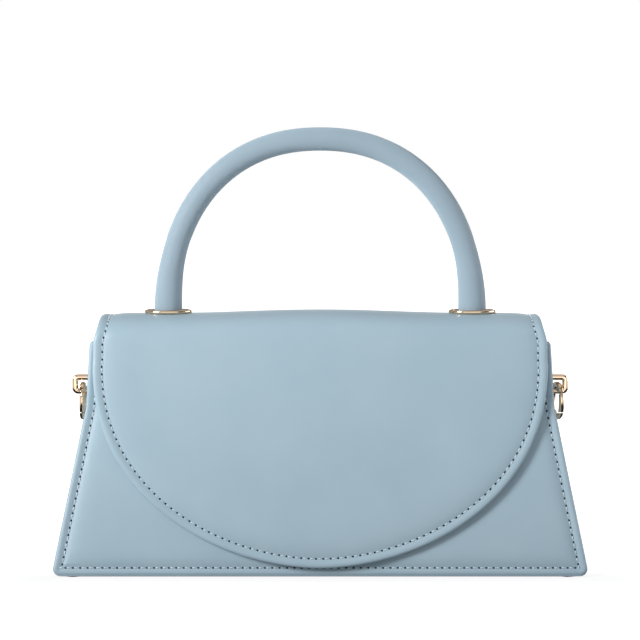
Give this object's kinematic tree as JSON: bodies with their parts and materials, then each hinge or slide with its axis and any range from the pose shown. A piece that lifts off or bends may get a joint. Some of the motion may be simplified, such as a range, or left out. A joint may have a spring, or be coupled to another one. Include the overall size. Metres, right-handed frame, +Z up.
{
  "type": "top handle bag",
  "caption": "Small structured leather handbag with a half-moon flap that opens on its back edge, a rigid arch handle on oval plates, and gated strap rings on its sides.",
  "frame": {"origin": "centre of the base's underside, where the bag rests", "axes": "+X to the bag's left-to-right width seen from the front, -Y out of the front, +Z up to the handle"},
  "size_m": [0.253, 0.0733, 0.2128],
  "materials": {
    "leather": "smooth pale blue calf leather with a soft satin finish",
    "lining": "fine woven lining",
    "stiffener": "bonded fibre board",
    "core": "plain moulded core",
    "gilt": "polished pale gold plating",
    "steel": "plain bright steel"
  },
  "bodies": {
    "bag": {"front_panel": "leather", "back_panel": "leather", "gusset_left": "leather", "gusset_right": "leather", "base_panel": "leather", "front_board": "stiffener", "back_board": "stiffener", "base_board": "stiffener", "lining_front": "lining", "lining_back": "lining", "lining_left": "lining", "lining_right": "lining", "lining_base": "lining", "front_facing": "leather", "back_facing": "leather", "slip_pocket": "lining", "pocket_welt": "leather", "front_magnet": "steel", "flap_back_strip": "leather", "bridge_left": "gilt", "bridge_right": "gilt", "bridge_plate_left": "steel", "bridge_plate_right": "steel"},
    "flap": {"flap_leather": "leather", "flap_filler": "stiffener", "flap_bar": "core", "flap_lining": "lining", "flap_magnet": "steel", "handle_cover": "leather", "handle_core": "core", "handle_insert_left": "steel", "handle_insert_right": "steel", "handle_plate_left": "gilt", "handle_plate_right": "gilt", "handle_screw_left": "steel", "handle_screw_right": "steel"},
    "ring_left": {"ring_left": "gilt", "gate_pin_left": "steel"},
    "ring_right": {"ring_right": "gilt", "gate_pin_right": "steel"},
    "gate_left": {"gate_left": "gilt"},
    "gate_right": {"gate_right": "gilt"}
  },
  "joints": [
    {"name": "flap_hinge", "type": "hinge", "parent": "bag", "child": "flap", "pos_m": [0, 0.0227, 0.1108], "axis": [-1, 0, 0], "range_deg": [0, 175]},
    {"name": "ring_swing_left", "type": "hinge", "parent": "bag", "child": "ring_left", "pos_m": [-0.11481, 0, 0.08833], "axis": [0, 1, 0], "range_deg": [0, 150]},
    {"name": "ring_swing_right", "type": "hinge", "parent": "bag", "child": "ring_right", "pos_m": [0.11481, 0, 0.08833], "axis": [0.2588, -0.9659, 0], "range_deg": [0, 150]},
    {"name": "gate_hinge_left", "type": "hinge", "parent": "ring_left", "child": "gate_left", "pos_m": [-0.11481, -0.00485, 0.08583], "axis": [1, 0, 0], "range_deg": [0, 28], "stiffness_Nm_per_rad": 0.01, "springref_deg": -11.46},
    {"name": "gate_hinge_right", "type": "hinge", "parent": "ring_right", "child": "gate_right", "pos_m": [0.11607, -0.00468, 0.08583], "axis": [0.9659, 0.2588, 0], "range_deg": [0, 28], "stiffness_Nm_per_rad": 0.01, "springref_deg": -11.46}
  ]
}
